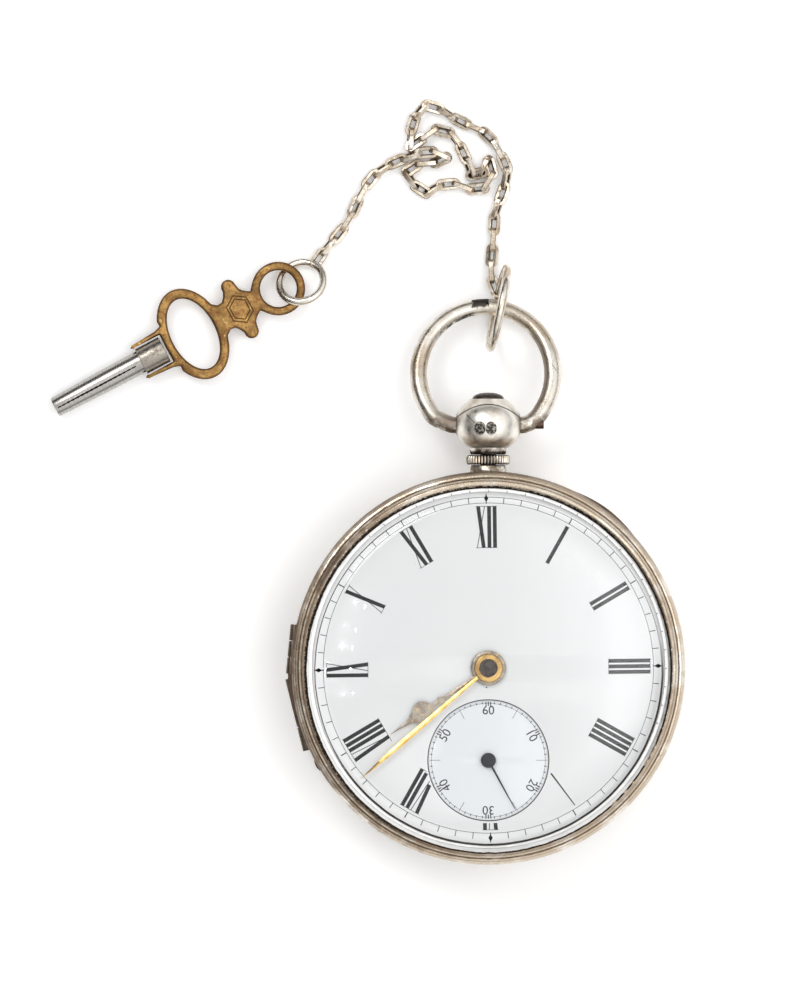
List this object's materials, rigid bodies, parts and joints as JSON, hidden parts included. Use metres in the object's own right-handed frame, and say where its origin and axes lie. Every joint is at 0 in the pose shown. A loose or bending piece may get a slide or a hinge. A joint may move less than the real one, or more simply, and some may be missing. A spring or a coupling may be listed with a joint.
{
  "type": "open face pocket watch",
  "caption": "Key-wound open face pocket watch lying on its back, with enamel dial, sunk seconds, hinged case, ball pendant and bow, fine link chain and brass winding key.",
  "frame": {"origin": "middle of the flat on the case back, on the plane that the watch lies on", "axes": "+Z out of the dial, +Y from the dial's centre through XII to the pendant, +X towards III"},
  "size_m": [0.0822, 0.0989, 0.0153],
  "materials": {
    "case_silver": "worn sterling silver, warm grey with brown tarnish in the grooves",
    "gilt_brass": "fire-gilt brass, matt",
    "old_brass": "aged brass, reddish-brown specks and dark edges",
    "steel": "polished steel, slightly rusted",
    "blued_steel": "blued steel, nearly black",
    "hand_gold": "polished gold alloy",
    "dial_enamel": "white vitreous enamel, glossy, printed black",
    "crystal_glass": "clear mineral glass, polished"
  },
  "bodies": {
    "case": {"case_middle": "case_silver", "inner_dome": "gilt_brass", "pendant_neck": "case_silver", "pendant_collar": "case_silver", "pendant_ball": "case_silver", "lock_spring": "steel", "bezel_hinge_pin": "steel", "back_hinge_pin": "steel", "dial": "dial_enamel", "seconds_dial": "dial_enamel", "pillar_plate": "gilt_brass", "top_plate": "gilt_brass", "pillar_1": "gilt_brass", "pillar_2": "gilt_brass", "pillar_3": "gilt_brass", "minute_wheel_stud": "steel", "balance_cock": "gilt_brass", "cock_screw": "steel", "click_screw": "steel", "click_spring": "steel"},
    "bezel": {"bezel": "case_silver", "crystal": "crystal_glass"},
    "back": {"case_back": "case_silver"},
    "bow": {"bow": "case_silver", "bow_screw": "steel"},
    "push_piece": {"push_piece": "steel"},
    "chain": {"chain_ring": "case_silver", "chain": "case_silver", "key_ring": "case_silver"},
    "key": {"key_handle": "old_brass", "key_ferrule": "old_brass", "key_pipe": "steel"},
    "centre": {"centre_wheel": "gilt_brass", "centre_arbor": "steel", "cannon_pinion": "steel", "minute_hand": "hand_gold"},
    "hour": {"hour_wheel": "gilt_brass", "hour_hand": "hand_gold"},
    "minute_wheel": {"minute_wheel": "gilt_brass"},
    "third": {"third_wheel": "gilt_brass", "third_arbor": "steel"},
    "fourth": {"fourth_wheel": "gilt_brass", "fourth_arbor": "steel", "seconds_hand": "blued_steel"},
    "escape": {"escape_wheel": "steel", "escape_arbor": "steel"},
    "barrel": {"barrel": "gilt_brass", "great_wheel": "gilt_brass", "barrel_cover": "gilt_brass", "mainspring": "steel"},
    "winding_arbor": {"barrel_arbor": "steel", "ratchet_wheel": "steel"},
    "click": {"click": "steel"},
    "lever": {"pallet_lever": "steel", "lever_arbor": "steel"},
    "balance": {"balance_wheel": "hand_gold", "balance_staff": "steel", "roller": "steel", "hairspring": "blued_steel"},
    "regulator": {"regulator": "steel"}
  },
  "joints": [
    {"name": "bezel_hinge", "type": "hinge", "parent": "case", "child": "bezel", "pos_m": [-0.02523, 0.00243, 0.01085], "axis": [-0.0958, -0.9954, 0], "range_deg": [0, 100]},
    {"name": "back_hinge", "type": "hinge", "parent": "case", "child": "back", "pos_m": [-0.02455, -0.00612, 0.00362], "axis": [-0.2419, 0.9703, 0], "range_deg": [0, 100]},
    {"name": "push_piece_press", "type": "slide", "parent": "case", "child": "push_piece", "axis": [0, -1, 0], "range_m": [0, 0.0008], "stiffness_N_per_m": 500, "springref_m": -0.0004},
    {"name": "bow_swing", "type": "hinge", "parent": "case", "child": "bow", "pos_m": [0, 0.0315, 0.0072], "axis": [1, 0, 0], "range_deg": [-90, 100]},
    {"name": "chain_ring_swing", "type": "hinge", "parent": "bow", "child": "chain", "pos_m": [0.0013, 0.04657, 0.00243], "axis": [1, 0, 0], "range_deg": [-90, 60]},
    {"name": "key_on_split_ring", "type": "hinge", "parent": "chain", "child": "key", "pos_m": [-0.0272, 0.04912, 0.00185], "axis": [0, 0, 1], "range_deg": [-40, 40]},
    {"name": "seconds_turn", "type": "hinge", "parent": "case", "child": "fourth", "pos_m": [0, -0.0119, 0.008], "axis": [0, 0, -1], "continuous": true},
    {"name": "third_turn", "type": "hinge", "parent": "case", "child": "third", "pos_m": [-0.00278, -0.00645, 0.007], "axis": [0, 0, -1], "continuous": true},
    {"name": "minutes_turn", "type": "hinge", "parent": "case", "child": "centre", "pos_m": [0, 0, 0.008], "axis": [0, 0, -1], "continuous": true},
    {"name": "minute_wheel_turn", "type": "hinge", "parent": "case", "child": "minute_wheel", "pos_m": [0.00283, 0.00283, 0.01], "axis": [0, 0, -1], "continuous": true},
    {"name": "hours_turn", "type": "hinge", "parent": "case", "child": "hour", "pos_m": [0, 0, 0.011], "axis": [0, 0, -1], "continuous": true},
    {"name": "barrel_turn", "type": "hinge", "parent": "case", "child": "barrel", "pos_m": [-0.00345, 0.00947, 0.007], "axis": [0, 0, -1], "continuous": true},
    {"name": "escape_turn", "type": "hinge", "parent": "case", "child": "escape", "pos_m": [0.00532, -0.01284, 0.007], "axis": [0, 0, -1], "continuous": true},
    {"name": "winding", "type": "hinge", "parent": "case", "child": "winding_arbor", "pos_m": [-0.00345, 0.00947, 0.004], "axis": [0, 0, -1], "continuous": true, "deforming": ["mainspring"]},
    {"name": "click_rock", "type": "hinge", "parent": "case", "child": "click", "pos_m": [0.00175, 0.01187, 0.0044], "axis": [0, 0, 1], "range_deg": [0, 12], "stiffness_Nm_per_rad": 0.00002},
    {"name": "lever_rock", "type": "hinge", "parent": "case", "child": "lever", "pos_m": [0.00724, -0.0095, 0.007], "axis": [0, 0, 1], "range_deg": [-4, 4]},
    {"name": "balance_swing", "type": "hinge", "parent": "case", "child": "balance", "pos_m": [0.00974, -0.00517, 0.005], "axis": [0, 0, 1], "range_deg": [-150, 150], "stiffness_Nm_per_rad": 0.000004, "deforming": ["hairspring"]},
    {"name": "regulator_swing", "type": "hinge", "parent": "case", "child": "regulator", "pos_m": [0.00974, -0.00517, 0.0025], "axis": [0, 0, 1], "range_deg": [-25, 25]}
  ],
  "couplings": [
    {"joint": "third_turn", "follows": "seconds_turn", "ratio": -0.13333},
    {"joint": "minutes_turn", "follows": "seconds_turn", "ratio": 0.016667},
    {"joint": "minute_wheel_turn", "follows": "seconds_turn", "ratio": -0.0055556},
    {"joint": "hours_turn", "follows": "seconds_turn", "ratio": 0.0013889},
    {"joint": "barrel_turn", "follows": "seconds_turn", "ratio": -0.0027778},
    {"joint": "escape_turn", "follows": "seconds_turn", "ratio": -8}
  ]
}
